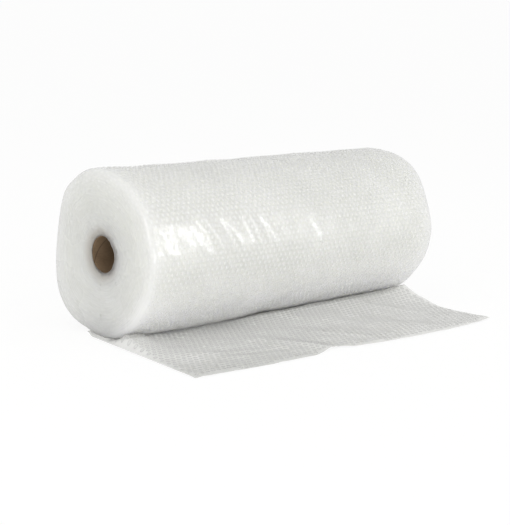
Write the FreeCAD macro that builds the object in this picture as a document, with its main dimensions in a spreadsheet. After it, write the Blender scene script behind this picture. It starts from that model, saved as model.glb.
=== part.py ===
import FreeCAD, Part
import Sketcher
import math
import os

# Bubble wrap roll, lying on its side: film wound on a cardboard core, with a loose end on the floor.
# Frame: X along the roll's axis, with the end shown in front at -X; the loose end runs towards -Y;
# Z up, with the origin on the floor below the middle of the axis. Millimetres and degrees.

document = FreeCAD.newDocument("bubble_wrap_roll")
sheet = document.addObject("Spreadsheet::Sheet", "sizes")

SIZES = [
    ("roll_length", 750, "length of the wound film"),
    ("roll_radius", 162, "outside of the last turn"),
    ("flat_width", 56, "flat spot that the roll's weight presses under it"),
    ("front_bulge", 3, "how far the soft roll stands out over its front shoulder"),
    ("back_bulge", 2.4, "the same over its back shoulder"),
    ("front_slack", 3, "how far it stands in, low on its front"),
    ("sheet_thickness", 4, "film with its bubbles"),
    ("row_spacing", 10.4, "from one row of bubbles to the next"),
    ("row_height", 1.8, "how far a row of bubbles stands out of the film"),
    ("end_rounding", 7, "soft corner at each end of the wound film"),
    ("rim_inset", 0.7, "how far the soft corner starts below the rows of bubbles"),
    ("turn_spacing", 11.5, "from one turn that shows in the end to the next"),
    ("turn_depth", 3, "how far a turn's edge stands back from its neighbour"),
    ("turn_land", 3, "flat edge of each turn"),
    ("dimple_width", 22, "width of the hollow round the core, on each side of it"),
    ("dimple_depth", 5, "depth of the hollow round the core"),
    ("core_bore", 70, "inside diameter of the core"),
    ("core_wall", 3.5, "wall of the core"),
    ("core_recess", 6.5, "how far the core's end lies inside the wound film"),
    ("core_chamfer", 0.8, "worn edge of the core's mouth"),
    ("core_gap", 0.3, "play between the core and the first turn"),
    ("cling_angle", 27, "the loose end clings to the roll this far round from the bottom"),
    ("peel_slope", 4, "slope at which the loose end leaves the roll"),
    ("crest_radius", 22, "round crest of the loose end, just in front of the roll"),
    ("drop_angle", 15, "steepest slope of the loose end on its way down to the floor"),
    ("loose_reach", 331, "from below the axis to the middle of the front edge"),
    ("front_skew", 12, "how much further the front edge reaches at the far end"),
    ("near_spread", 20, "how far the loose end's near corner stands past the roll's end"),
    ("far_spread", 7, "the same at the far corner"),
    ("buckle_place", 107, "from the middle of the front edge to its buckle, on the near side"),
    ("buckle_width", 100, "width of the buckle"),
    ("buckle_depth", 12, "how far the buckle draws the front edge back"),
]
for row, (alias, value, note) in enumerate(SIZES, start=1):
    sheet.set(f"A{row}", alias.replace("_", " "))
    sheet.set(f"B{row}", str(value))
    sheet.setAlias(f"B{row}", alias)
    sheet.set(f"C{row}", note)
document.recompute()


def size(alias):
    return float(sheet.get(alias))


length = size("roll_length")
radius = size("roll_radius")
thickness = size("sheet_thickness")
row_height = size("row_height")
cling = math.radians(size("cling_angle"))
peel = math.radians(size("peel_slope"))
drop = math.radians(size("drop_angle"))
AXIS_HEIGHT = "sqrt(sizes.roll_radius ^ 2 - (sizes.flat_width / 2) ^ 2)"
axis_height = math.sqrt(radius**2 - (size("flat_width") / 2) ** 2)
film_bore = size("core_bore") / 2 + size("core_wall") + size("core_gap")
dimple_radius = film_bore + size("dimple_width")
outside = 2 * radius  # larger than anything that a cutting tool has to clear
tool_margin = 0.5  # how far a cutting tool starts outside the face that it cuts


# The last turn of film, as seen along X. The roll is soft, so it lies a little out of round.
FRONT_SHOULDER = (240, 45)  # middle and half width, in degrees round from the bottom
BACK_SHOULDER = (152, 36)
LOW_FRONT = (305, 45)


def swell(angle, middle, half_width):
    """1 at the middle, falling softly to 0 on each side of it."""
    away = abs(math.degrees(angle) % 360 - middle)
    if away > half_width:
        return 0.0
    return math.cos(math.pi / 2 * away / half_width) ** 2


def turn_reach(angle):
    """From the axis to the film's bubble side, angle round from the bottom by way of the back."""
    bulges = size("front_bulge") * swell(angle, *FRONT_SHOULDER)
    bulges += size("back_bulge") * swell(angle, *BACK_SHOULDER)
    bulges -= size("front_slack") * swell(angle, *LOW_FRONT)
    return radius - thickness * angle / math.tau + bulges


def turn_point(angle):
    """A point of the film's bubble side."""
    reach = turn_reach(angle)
    height = axis_height - reach * math.cos(angle)
    return FreeCAD.Vector(0, reach * math.sin(angle), max(height, 0))


def rise(slope):
    """Square to the loose end where it climbs at that slope on its way forwards."""
    return FreeCAD.Vector(0, math.sin(slope), math.cos(slope))


# The loose end's flat side leaves the roll over a round crest and runs out to the floor in a wide curve.
peel_top = turn_point(math.tau - cling)
crest_radius = size("crest_radius")
crest_centre = peel_top - rise(peel) * crest_radius
drop_height = crest_centre.z + crest_radius * math.cos(drop) - thickness
run_out_radius = drop_height / (1 - math.cos(drop))
run_out_centre = crest_centre + rise(-drop) * (crest_radius + run_out_radius)


def crest_point(slope, depth=0.0):
    return crest_centre + rise(slope) * (crest_radius - depth)


def run_out_point(slope, depth=0.0):
    return run_out_centre - rise(slope) * (run_out_radius + depth)


stock_reach = size("loose_reach") + size("front_skew") + row_height
under_front = FreeCAD.Vector(0, -stock_reach, 0)
top_front = FreeCAD.Vector(0, -stock_reach, thickness)


# The bubble side in two stretches of closely spaced points. Between them lies the flat spot.
steps = 400
shares = [step / steps for step in range(steps + 1)]
half_flat = size("flat_width") / 2
flat_angle = math.asin(half_flat / radius)
flat_front = FreeCAD.Vector(0, -half_flat, 0)
flat_back = FreeCAD.Vector(0, half_flat, 0)


def front_stretch():
    """From the front edge, over the crest and down to the flat spot."""
    points = [under_front]
    points += [run_out_point(-drop * share, thickness) for share in shares]
    points += [crest_point(-drop + (drop + peel) * share, thickness) for share in shares]
    points += [turn_point(-cling + (cling - flat_angle) * share) for share in shares]
    return points + [flat_front]


def round_stretch():
    """From the flat spot up the back, over the top and down to the peel."""
    whole_way = math.tau - cling - flat_angle
    return [flat_back] + [turn_point(flat_angle + whole_way * share) for share in shares[1:]]


def spaced(points, spacing):
    """Points about spacing apart along a line, an even number of steps, with the line's ends."""
    reached = [0.0]
    for first, second in zip(points, points[1:]):
        reached.append(reached[-1] + first.distanceToPoint(second))
    count = 2 * max(1, round(reached[-1] / spacing / 2))
    result = []
    at = 0
    for step in range(count + 1):
        want = reached[-1] * step / count
        while at < len(points) - 2 and reached[at + 1] < want:
            at += 1
        share = (want - reached[at]) / max(reached[at + 1] - reached[at], 1e-9)
        result.append(points[at] + (points[at + 1] - points[at]) * share)
    return result


def ridges(points, first_lift):
    """One rounded ridge for each row of bubbles along a stretch. The first valley is lifted."""
    halves = spaced(points, size("row_spacing") / 2)
    valleys = [halves[0] + FreeCAD.Vector(0, 0, first_lift)]
    for before, here, after in zip(halves[1::2], halves[2::2], halves[3::2]):
        along = (after - before).normalize()
        inward = FreeCAD.Vector(0, -along.z, along.y)
        valleys.append(here + inward * row_height)
    valleys.append(halves[-1])
    crests = halves[1::2]
    return [Part.Arc(a, crest, b).toShape() for a, crest, b in zip(valleys, crests, valleys[1:])]


def flat_side():
    """The loose end's upper side, from the peel to the front edge."""
    crest_end = crest_point(-drop)
    floor_start = run_out_point(0)
    return [
        Part.Arc(peel_top, crest_point((peel - drop) / 2), crest_end).toShape(),
        Part.Arc(crest_end, run_out_point(-drop / 2), floor_start).toShape(),
        Part.makeLine(floor_start, top_front),
    ]


bubble_edges = ridges(front_stretch(), row_height)
bubble_edges.append(Part.makeLine(flat_front, flat_back))
bubble_edges += ridges(round_stretch(), 0)
closing_edges = flat_side()
closing_edges.append(Part.makeLine(top_front, bubble_edges[0].Vertexes[0].Point))
film_wire = Part.Wire(bubble_edges + closing_edges)
film_section = document.addObject("Part::Feature", "film_section")
film_section.Shape = Part.Face(film_wire)


def extrude(name, base, direction, expression, symmetric):
    solid = document.addObject("Part::Extrusion", name)
    solid.Base = base
    solid.DirMode = "Custom"
    solid.Dir = direction
    solid.Solid = True
    solid.Symmetric = symmetric
    solid.setExpression("LengthFwd", expression)
    return solid


film_stock = extrude(
    "film_stock",
    film_section,
    FreeCAD.Vector(1, 0, 0),
    "sizes.roll_length + 2 * sizes.near_spread + 2 * sizes.far_spread",
    True,
)


# The outline seen from above: the roll's own width, then the loose end with its spread corners.
def plan_face():
    half = length / 2
    back = radius + thickness
    start = peel_top.y
    near_front = -size("loose_reach") + size("front_skew")
    far_front = -size("loose_reach") - size("front_skew")
    near = -half - size("near_spread")
    far = half + size("far_spread")

    def front(x):
        share = (x - near) / (far - near)
        return near_front + (far_front - near_front) * share

    def corner(x, y):
        return FreeCAD.Vector(x, y, 0)

    side_bow = 0.38  # share of the spread that a side edge has reached half way to its corner

    def side(x, corner_point):
        """A side edge that starts along the roll's end and curves out to its corner."""
        first = corner(x, start)
        middle = corner(x + side_bow * (corner_point.x - x), (start + corner_point.y) / 2)
        return Part.Arc(first, middle, corner_point).toShape()

    def drawn_back(width_share, depth_share):
        """A point of the buckle, at shares of its width and depth."""
        x = buckle + width_share * size("buckle_width")
        return corner(x, front(x) + depth_share * size("buckle_depth"))

    buckle = -size("buckle_place")
    near_buckle = drawn_back(0, 0)
    step = drawn_back(0.3, 1)
    bend = drawn_back(0.6, 0.75)
    far_buckle = drawn_back(1, 0)
    near_corner = corner(near, near_front)
    far_corner = corner(far, far_front)
    edges = [
        Part.makeLine(corner(half, back), corner(half, start)),
        side(half, far_corner),
        Part.makeLine(far_corner, far_buckle),
        Part.Arc(far_buckle, bend, step).toShape(),
        Part.makeLine(step, near_buckle),
        Part.makeLine(near_buckle, near_corner),
        side(-half, near_corner),
        Part.makeLine(corner(-half, start), corner(-half, back)),
        Part.makeLine(corner(-half, back), corner(half, back)),
    ]
    return Part.Face(Part.Wire(edges))


film_plan = document.addObject("Part::Feature", "film_plan")
film_plan.Shape = plan_face()
plan_block = extrude(
    "plan_block",
    film_plan,
    FreeCAD.Vector(0, 0, 1),
    "2 * sizes.roll_radius + 2 * sizes.sheet_thickness",
    False,
)
plan_block.Placement = FreeCAD.Placement(FreeCAD.Vector(0, 0, -thickness), FreeCAD.Rotation())
film_cut_to_plan = document.addObject("Part::Common", "film_cut_to_plan")
film_cut_to_plan.Base = film_stock
film_cut_to_plan.Tool = plan_block


# Past the roll's ends only the loose end goes on: what lies above it there is cut away.
def end_trim_face():
    wedge = math.radians((size("cling_angle") + size("peel_slope")) / 2)
    mouth = peel_top + FreeCAD.Vector(0, -math.cos(wedge), math.sin(wedge)) * tool_margin
    rim = mouth + FreeCAD.Vector(0, -math.cos(wedge), math.sin(wedge)) * outside
    top = FreeCAD.Vector(0, rim.y, 2 * outside)
    back = FreeCAD.Vector(0, outside, 2 * outside)
    foot = FreeCAD.Vector(0, outside, -outside)
    under = FreeCAD.Vector(0, mouth.y, -outside)
    return Part.Face(Part.makePolygon([mouth, rim, top, back, foot, under, mouth]))


end_trim_section = document.addObject("Part::Feature", "end_trim_section")
end_trim_section.Shape = end_trim_face()
cutters = []
for side, sign, spread in (("near", -1, "near_spread"), ("far", 1, "far_spread")):
    trim = extrude(
        f"{side}_end_trim",
        end_trim_section,
        FreeCAD.Vector(sign, 0, 0),
        f"2 * sizes.{spread} + 2 * sizes.roll_radius",
        False,
    )
    trim.setExpression("Placement.Base.x", f"{sign} * sizes.roll_length / 2")
    cutters.append(trim)


# Round cuts about the roll's axis. Each has the axis along X at the axis' height.
def about_axis(solid, x_expression, towards):
    turn = FreeCAD.Rotation(FreeCAD.Vector(0, 0, 1), FreeCAD.Vector(towards, 0, 0))
    solid.Placement = FreeCAD.Placement(FreeCAD.Vector(0, 0, 0), turn)
    solid.setExpression("Placement.Base.x", x_expression)
    solid.setExpression("Placement.Base.z", AXIS_HEIGHT)


bore = document.addObject("Part::Cylinder", "first_turn_bore")
bore.setExpression("Radius", "sizes.core_bore / 2 + sizes.core_wall + sizes.core_gap")
bore.setExpression("Height", "sizes.roll_length + 4 * sizes.dimple_depth")
about_axis(bore, "-sizes.roll_length / 2 - 2 * sizes.dimple_depth", 1)
cutters.append(bore)

past_end = 1.2  # the dimple's cone goes on by a fifth, to end outside the film
for side, sign in (("near", -1), ("far", 1)):
    dimple = document.addObject("Part::Cone", f"{side}_dimple")
    first_turn = "(sizes.core_bore / 2 + sizes.core_wall + sizes.core_gap)"
    dimple.setExpression("Radius1", first_turn)
    dimple.setExpression("Radius2", f"{first_turn} + {past_end} * sizes.dimple_width")
    dimple.setExpression("Height", f"{past_end} * sizes.dimple_depth")
    about_axis(dimple, f"{sign} * (sizes.roll_length / 2 - sizes.dimple_depth)", sign)
    cutters.append(dimple)


# The turns that show in each end: one long spiral step, made of half circles on two centres.
def spiral_path(x):
    pitch = size("turn_spacing")
    first_reach = dimple_radius + size("turn_land") + pitch / 4
    edge = thickness + size("front_slack") + row_height + size("rim_inset") + size("end_rounding")
    room = radius - edge - first_reach - pitch
    half_turns = max(2, 2 * int(room / pitch))
    edges = []
    for half_turn in range(half_turns):
        sign = 1 if half_turn % 2 else -1
        reach = first_reach + half_turn * pitch / 2
        middle = FreeCAD.Vector(x, -sign * pitch / 4, axis_height)
        first = middle + FreeCAD.Vector(0, sign * reach, 0)
        crown = middle - FreeCAD.Vector(0, 0, sign * reach)
        last = middle - FreeCAD.Vector(0, sign * reach, 0)
        edges.append(Part.Arc(first, crown, last).toShape())
    return Part.Wire(edges)


def spiral_step(sign):
    """A cutter with a slanting floor, one wall and a flat land between its turns."""
    x = sign * length / 2
    path = spiral_path(x)
    start = path.Edges[0].Vertexes[0].Point
    wide = size("turn_spacing") - size("turn_land")
    deep = size("turn_depth")
    lead = wide * tool_margin / deep

    def section_point(outwards, inwards):
        return FreeCAD.Vector(x - sign * inwards, start.y - outwards, start.z)

    corners = [
        section_point(-lead, -tool_margin),
        section_point(wide, -tool_margin),
        section_point(wide, deep),
    ]
    section = Part.makePolygon(corners + corners[:1])
    return path.makePipeShell([section], True, True)


for side, sign in (("near", -1), ("far", 1)):
    step = document.addObject("Part::Feature", f"{side}_turns")
    step.Shape = spiral_step(sign)
    cutters.append(step)


# The soft corner at each end: it slants inwards all the way round, apart from the bottom.
open_from = cling + size("row_spacing") / radius  # one row behind the peel
outline_steps = 48


def rim_outline(x, inset):
    """A plain closed outline inside the last turn's rows of bubbles."""
    points = []
    for step in range(outline_steps):
        angle = open_from + (math.tau - 2 * open_from) * step / (outline_steps - 1)
        reach = turn_reach(angle) - row_height - inset
        points.append(FreeCAD.Vector(x, reach * math.sin(angle), axis_height - reach * math.cos(angle)))
    curve = Part.BSplineCurve()
    curve.interpolate(Points=points, PeriodicFlag=True)
    return Part.Wire(curve.toShape())


def corner_cut(sign):
    """What lies outside a plug that narrows towards the roll's end."""
    soft = size("end_rounding")
    inset = size("rim_inset")
    inner = sign * (length / 2 - soft)
    outer = sign * (length / 2 + tool_margin)
    plug = Part.makeLoft(
        [rim_outline(inner, inset), rim_outline(outer, inset + soft + tool_margin)], True, True
    )
    middle = FreeCAD.Vector(inner, 0, axis_height)
    front_foot = middle + FreeCAD.Vector(0, -math.sin(open_from), -math.cos(open_from)) * outside
    back_foot = middle + FreeCAD.Vector(0, math.sin(open_from), -math.cos(open_from)) * outside
    front_top = FreeCAD.Vector(inner, front_foot.y, 2 * outside)
    back_top = FreeCAD.Vector(inner, back_foot.y, 2 * outside)
    sector = Part.Face(Part.makePolygon([middle, front_foot, front_top, back_top, back_foot, middle]))
    wedge_block = sector.extrude(FreeCAD.Vector(outer - inner, 0, 0))
    reach = radius + size("front_bulge") + row_height + tool_margin
    end_disc = Part.makeCylinder(reach, abs(outer - inner), middle, FreeCAD.Vector(sign, 0, 0))
    return end_disc.common(wedge_block).cut(plug)


for side, sign in (("near", -1), ("far", 1)):
    slant = document.addObject("Part::Feature", f"{side}_corner")
    slant.Shape = corner_cut(sign)
    cutters.append(slant)

# One cut after another gives the film.
film = film_cut_to_plan
for cutter in cutters:
    cut = document.addObject("Part::Cut", f"film_less_{cutter.Name}")
    cut.Base = film
    cut.Tool = cutter
    film = cut
film.Label = "bubble_film"

# The core: a spiral-wound cardboard tube, a little shorter than the film is wide.
core = document.addObject("PartDesign::Body", "core_body")
core.Label = "cardboard_core"
planes = {feature.Role: feature for feature in core.Origin.OriginFeatures}
ring_sketch = core.newObject("Sketcher::SketchObject", "core_ring")
ring_sketch.AttachmentSupport = [(planes["YZ_Plane"], "")]
ring_sketch.MapMode = "FlatFace"
for expression in ("sizes.core_bore / 2", "sizes.core_bore / 2 + sizes.core_wall"):
    circle = Part.Circle(FreeCAD.Vector(0, 0, 0), FreeCAD.Vector(0, 0, 1), film_bore)
    index = ring_sketch.addGeometry(circle, False)
    # The circle's middle, point 3, lies on the sketch's own origin, point 1 of -1.
    ring_sketch.addConstraint(Sketcher.Constraint("Coincident", index, 3, -1, 1))
    held = ring_sketch.addConstraint(Sketcher.Constraint("Radius", index, film_bore))
    ring_sketch.setExpression(f"Constraints[{held}]", expression)
tube = core.newObject("PartDesign::Pad", "core_tube")
tube.Profile = ring_sketch
tube.Midplane = True
tube.setExpression("Length", "sizes.roll_length - 2 * sizes.core_recess")
core.setExpression("Placement.Base.z", AXIS_HEIGHT)
document.recompute()
mouth_edges = [
    f"Edge{number}"
    for number, edge in enumerate(tube.Shape.Edges, start=1)
    if isinstance(edge.Curve, Part.Circle) and abs(edge.Curve.Radius - size("core_bore") / 2) < 1e-6
]
worn_edge = core.newObject("PartDesign::Chamfer", "core_mouths")
worn_edge.Base = (tube, mouth_edges)
worn_edge.setExpression("Size", "sizes.core_chamfer")
core.Tip = worn_edge
document.recompute()

for item in document.Objects:
    if {"Invalid", "Error"} & set(item.State):
        raise RuntimeError(f"{item.Name} failed: {item.State}")
pieces = [film, core]
for piece in pieces:
    shape = piece.Shape
    if shape.isNull() or not shape.isValid() or len(shape.Solids) != 1:
        raise RuntimeError(f"{piece.Label} is not one valid solid")
    print(piece.Label, "volume", round(shape.Volume / 1e9, 6), "m3, faces", len(shape.Faces))

os.makedirs("parts", exist_ok=True)
for piece in pieces:
    piece.Shape.exportStep(f"parts/{piece.Label}.step")
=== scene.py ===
# %% [markdown]
# Bubble wrap roll, dressed for rendering. The CAD model gives the frame: its sizes, its floor and its
# axis. X runs along the roll, the loose end comes out towards -Y, and Z is up, all in metres.
# The film is one long sheet, so its CAD solid is replaced by pieces that show what a solid can't: the
# wound body with its turns, thousands of separate bubbles, and the loose end on the floor.

# %% Load the frame
import math

import bpy
import numpy as np
from mathutils import Matrix, Vector


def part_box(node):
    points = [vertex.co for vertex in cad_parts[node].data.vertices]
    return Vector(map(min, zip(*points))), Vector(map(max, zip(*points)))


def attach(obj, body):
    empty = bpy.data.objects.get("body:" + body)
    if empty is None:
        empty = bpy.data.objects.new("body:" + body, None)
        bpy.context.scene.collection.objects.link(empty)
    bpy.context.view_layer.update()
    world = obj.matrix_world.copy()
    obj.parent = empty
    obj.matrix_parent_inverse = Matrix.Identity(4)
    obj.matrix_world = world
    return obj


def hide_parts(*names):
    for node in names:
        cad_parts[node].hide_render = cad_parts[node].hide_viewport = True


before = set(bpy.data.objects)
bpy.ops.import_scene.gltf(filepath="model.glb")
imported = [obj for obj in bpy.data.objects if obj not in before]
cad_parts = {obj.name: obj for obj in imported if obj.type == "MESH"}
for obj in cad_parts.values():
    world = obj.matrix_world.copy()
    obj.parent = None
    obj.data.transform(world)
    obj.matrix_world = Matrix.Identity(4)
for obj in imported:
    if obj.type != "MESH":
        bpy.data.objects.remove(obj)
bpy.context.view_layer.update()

# %% [markdown]
# The camera comes first, because every later choice is judged through it. A camera was fitted to the
# outline of the roll in the photograph: it stands low, to the left of the loose end, with a long lens.
# Its three angles are applied one after another: it turns to its heading, pitches down and tilts a little.

# %% Camera
camera_data = bpy.data.cameras.new("photo_camera")
camera_data.lens = 96.8
camera_data.sensor_width = 36
camera_data.clip_start = 0.05
camera_data.clip_end = 200
camera = bpy.data.objects.new("photo_camera", camera_data)
bpy.context.scene.collection.objects.link(camera)
camera_place = (-1.8962, -2.1392, 0.6941)
heading = Matrix.Rotation(math.radians(-41.776), 4, "Z")
pitch = Matrix.Rotation(math.radians(90 - 11.658), 4, "X")
tilt = Matrix.Rotation(math.radians(2.001), 4, "Z")
camera.matrix_world = Matrix.Translation(camera_place) @ heading @ pitch @ tilt
bpy.context.scene.camera = camera
print("camera at", [round(v, 3) for v in camera.matrix_world.translation])

# %% [markdown]
# The sizes of the film, in metres. Small bubble film has bubbles 10 mm wide, 11.85 mm apart, in rows
# 10.4 mm apart, and every second row is shifted by half a bubble. The place of the axis and the width of
# the core are read from the CAD core, so the looks can't drift away from the frame.

# %% Sizes of the roll and of its film
core_low, core_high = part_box("cardboard_core")
axis_height = (core_low.z + core_high.z) / 2
half_length = 0.375
roll_radius = 0.1618
core_radius = (core_high.z - core_low.z) / 2
bubble_height = 0.0020
bubble_radius = 0.0050
bubble_pitch = 0.01185
row_pitch = 0.0104
corner_radius = 0.010
dimple_depth = 0.005
dimple_width = 0.022
turn_count = 26
floor_gap = 0.0004
print("axis at", round(axis_height, 4), "core radius", round(core_radius, 4))

# %% [markdown]
# A few helpers for the whole lesson. Operators work on whatever is selected, so everything is
# deselected before a primitive is added. Soft shapes are made as a sculptor would, by moving the
# vertices of a primitive, and one smooth ripple function gives all the waves in the film.

# %% Helpers
def deselect_all():
    if bpy.context.object and bpy.context.object.mode != "OBJECT":
        bpy.ops.object.mode_set(mode="OBJECT")
    bpy.ops.object.select_all(action="DESELECT")


def named(name):
    """Names the primitive that was just added, and its mesh."""
    piece = bpy.context.object
    piece.name = name
    piece.data.name = name
    return piece


def points_of(piece):
    """The places of the piece's vertices, one row each."""
    points = np.empty(len(piece.data.vertices) * 3)
    piece.data.vertices.foreach_get("co", points)
    return points.reshape(-1, 3)


def move_points(piece, points):
    """Puts the piece's vertices at new places."""
    piece.data.vertices.foreach_set("co", np.ascontiguousarray(points, dtype=np.float32).ravel())
    piece.data.update()


def triangles_of(piece):
    """How many triangles the piece's faces make."""
    return sum(len(face.vertices) - 2 for face in piece.data.polygons)


def ripple(across, along, wavelength, seed, waves=7):
    """Smooth irregular waves between about -1 and 1, the same in every run."""
    dice = np.random.default_rng(seed)
    turns = dice.uniform(0, math.tau, waves)
    phases = dice.uniform(0, math.tau, waves)
    stretches = dice.uniform(0.7, 1.5, waves)
    total = np.zeros(np.broadcast(across, along).shape)
    for turn, phase, stretch in zip(turns, phases, stretches):
        rate = math.tau / wavelength * stretch
        total += np.sin(rate * (across * math.cos(turn) + along * math.sin(turn)) + phase)
    return total / math.sqrt(waves)


def ring_ripple(x, angle, wavelength, seed, waves=7):
    """The same on the wound film, meeting itself again after a full turn."""
    dice = np.random.default_rng(seed)
    total = np.zeros(np.broadcast(x, angle).shape)
    for _ in range(waves):
        turn, phase = dice.uniform(0, math.tau), dice.uniform(0, math.tau)
        rate = math.tau / wavelength * dice.uniform(0.7, 1.5)
        times_round = round(rate * math.sin(turn) * roll_radius)
        total += np.sin(rate * math.cos(turn) * x + times_round * angle + phase)
    return total / math.sqrt(waves)


def smoothstep(value, low, high):
    """0 up to low, 1 from high on, and a soft rise between them."""
    share = np.clip((value - low) / (high - low), 0, 1)
    return share * share * (3 - 2 * share)


def lay_map(piece, across, along):
    """Gives the piece a UV map in metres on the film, from one place for each point."""
    corners = np.empty(len(piece.data.loops), dtype=int)
    piece.data.loops.foreach_get("vertex_index", corners)
    layer = piece.data.uv_layers[0] if piece.data.uv_layers else piece.data.uv_layers.new()
    layer.name = "film"
    layer.data.foreach_set("uv", np.stack([across[corners], along[corners]], axis=-1).ravel())


def lay_attribute(piece, name, values):
    """Gives the piece one number for each point, which its material can read as a mask."""
    attribute = piece.data.attributes.new(name, "FLOAT", "POINT")
    attribute.data.foreach_set("value", np.asarray(values, dtype=np.float32))


def line_mask(x, y, start, end, width, before, after):
    """1 along a straight line from start to end, falling softly to its sides and past its ends."""
    (x0, y0), (x1, y1) = start, end
    long = math.hypot(x1 - x0, y1 - y0)
    along = ((x - x0) * (x1 - x0) + (y - y0) * (y1 - y0)) / long
    aside = ((x - x0) * (y1 - y0) - (y - y0) * (x1 - x0)) / long
    ends = smoothstep(along, -before, after) * (1 - smoothstep(along, long - after, long + before))
    return ends * np.exp(-((aside / width) ** 2))


# %% [markdown]
# The wound film is soft: lying on its side it is a little out of round, with a flat spot under it.
# The section below was read from the roll's outline. Angles are counted from the bottom by way of the
# back, the way the film is wound. Long creases run slantwise over the front, where the film was pulled
# tight, and they are what catches the light in bright streaks.

# %% Shape of the wound film's surface
def swell(angle, middle, half_width):
    """1 at the middle angle, both in degrees from the bottom, falling softly to 0 on each side."""
    away = (np.degrees(angle) - middle + 180) % 360 - 180
    return np.where(np.abs(away) < half_width, np.cos(np.pi / 2 * away / half_width) ** 2, 0.0)


def section_radius(angle):
    """Distance of the bubble tops from the roll's axis."""
    full = 0.0030 * swell(angle, 240, 45) + 0.0024 * swell(angle, 152, 36)
    return roll_radius + full - 0.0030 * swell(angle, 305, 45)


# Each form has a side of the roll, a middle and a half width in degrees, and how far it stands out.
END_FORMS = [
    (-1, 47, 42, 0.0105),
    (-1, 103, 34, -0.0030),
    (-1, 134, 34, 0.0050),
    (-1, 168, 30, 0.0040),
    (1, 216, 34, 0.0055),
    (1, 276, 36, 0.0055),
]
loosened_length = 0.11


def end_form(x, angle):
    """How far the loosened turns near the two ends stand out of the section."""
    total = 0.0 * x * angle
    for side, middle, half_width, amount in END_FORMS:
        near_the_end = smoothstep(side * x, half_length - loosened_length, half_length)
        total = total + amount * near_the_end * swell(angle, middle, half_width)
    return total


# Each crease has a start and an end as (x, degrees from the top to the front), a width and a height.
CREASES = [
    ((-0.262, 50), (-0.192, 92), 0.009, 0.0022),
    ((-0.240, 48), (-0.168, 84), 0.007, -0.0012),
    ((-0.142, 54), (-0.092, 98), 0.010, 0.0020),
    ((-0.118, 60), (-0.070, 92), 0.006, -0.0010),
    ((0.030, 66), (0.062, 96), 0.010, 0.0008),
    ((0.130, 70), (0.160, 104), 0.010, 0.0006),
]


def on_film(place):
    """A crease's end as a place on the unrolled film."""
    return place[0], (math.pi + math.radians(place[1])) * roll_radius


def skin_wave(x, angle):
    """How far the film stands out of its round section."""
    wave = 0.0007 * ring_ripple(x, angle, 0.17, 11) + 0.00035 * ring_ripple(x, angle, 0.06, 12)
    wave = wave + 0.00012 * ring_ripple(x, angle, 0.025, 13)
    for start, end, width, height in CREASES:
        ends = on_film(start), on_film(end)
        wave = wave + height * line_mask(x, angle * roll_radius, *ends, width, 0.02, 0.03)
    return wave


def belly(x, angle):
    """The last turn sags on to the loose end where it leaves the roll low, left of the middle."""
    from_bottom = np.degrees((angle + math.pi) % math.tau - math.pi)
    window = smoothstep(x, -0.36, -0.27) * (1 - smoothstep(x, -0.14, 0.0))
    return 0.0062 * window * np.exp(-(((from_bottom + 29) / 13) ** 2))


def surface_reach(x, angle):
    """Distance of the bubble tops from the axis, with the film's waves."""
    return section_radius(angle) + skin_wave(x, angle) + belly(x, angle) + 0.8 * end_form(x, angle)


def roll_point(x, angle, out):
    """A point of the wound film, out metres above the bubble tops' level."""
    past_corner = np.clip(corner_radius - (half_length - np.abs(x)), 0, corner_radius)
    round_off = corner_radius - np.sqrt(np.maximum(corner_radius**2 - past_corner**2, 0))
    reach = surface_reach(x, angle) + out - round_off
    y = reach * np.sin(angle)
    z = axis_height - reach * np.cos(angle)
    shifted = x + np.sign(x) * 0.5 * end_form(x, angle) + 0 * y
    return np.stack([shifted, y, np.maximum(z, floor_gap)], axis=-1)


def tight_and_painted_bounce(y, z):
    """1 low on the front, where the loose end draws the film taut and its bubbles hardly show, and where the
    wound film's colour is painted lighter as bounce light from the floor.
    """
    return smoothstep(axis_height - z, 0.01, 0.11) * smoothstep(-y, 0.02, 0.07)


round_it = np.linspace(0, math.tau, 99)
print("section from", section_radius(round_it).min().round(4), "to", section_radius(round_it).max().round(4))

# %% [markdown]
# The wound body is a thick tube. It starts from a flat grid that is wrapped twice: one way round
# becomes the roll's angle, and the other becomes a walk round the wall's section, up one end face past
# every turn, along the outside, down the other end and back through the bore. Spinning a profile would
# be shorter, but a soft roll has no two sections alike.

# %% Walk round the wall's section
# On an end face the steps are shares of the way from the bore to the outer corner, four to a turn.
face_steps = np.linspace(0, 1, turn_count * 4 + 1)
around_count = 240
core_inset = 0.0062
length_stations = np.linspace(-half_length + corner_radius, half_length - corner_radius, 150)
bore_stations = np.linspace(half_length - core_inset, -half_length + core_inset, 10)
corner_steps = np.linspace(0, math.pi / 2, 7)
walk = [("near", share) for share in face_steps]
walk += [("near corner", turn) for turn in corner_steps[1:-1]]
walk += [("outside", x) for x in length_stations]
walk += [("far corner", turn) for turn in corner_steps[::-1][1:-1]]
walk += [("far", share) for share in face_steps[::-1]]
walk += [("bore", x) for x in bore_stations]
print("steps in the walk", len(walk))

# %% [markdown]
# An end face isn't flat. The film's turns don't end level with each other, so each turn's edge stands
# a little in or out, and the whole face sinks into a dimple round the core, where the first turns were
# started by hand. The edges follow a spiral, so the pattern shifts by one turn on its way round.

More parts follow.
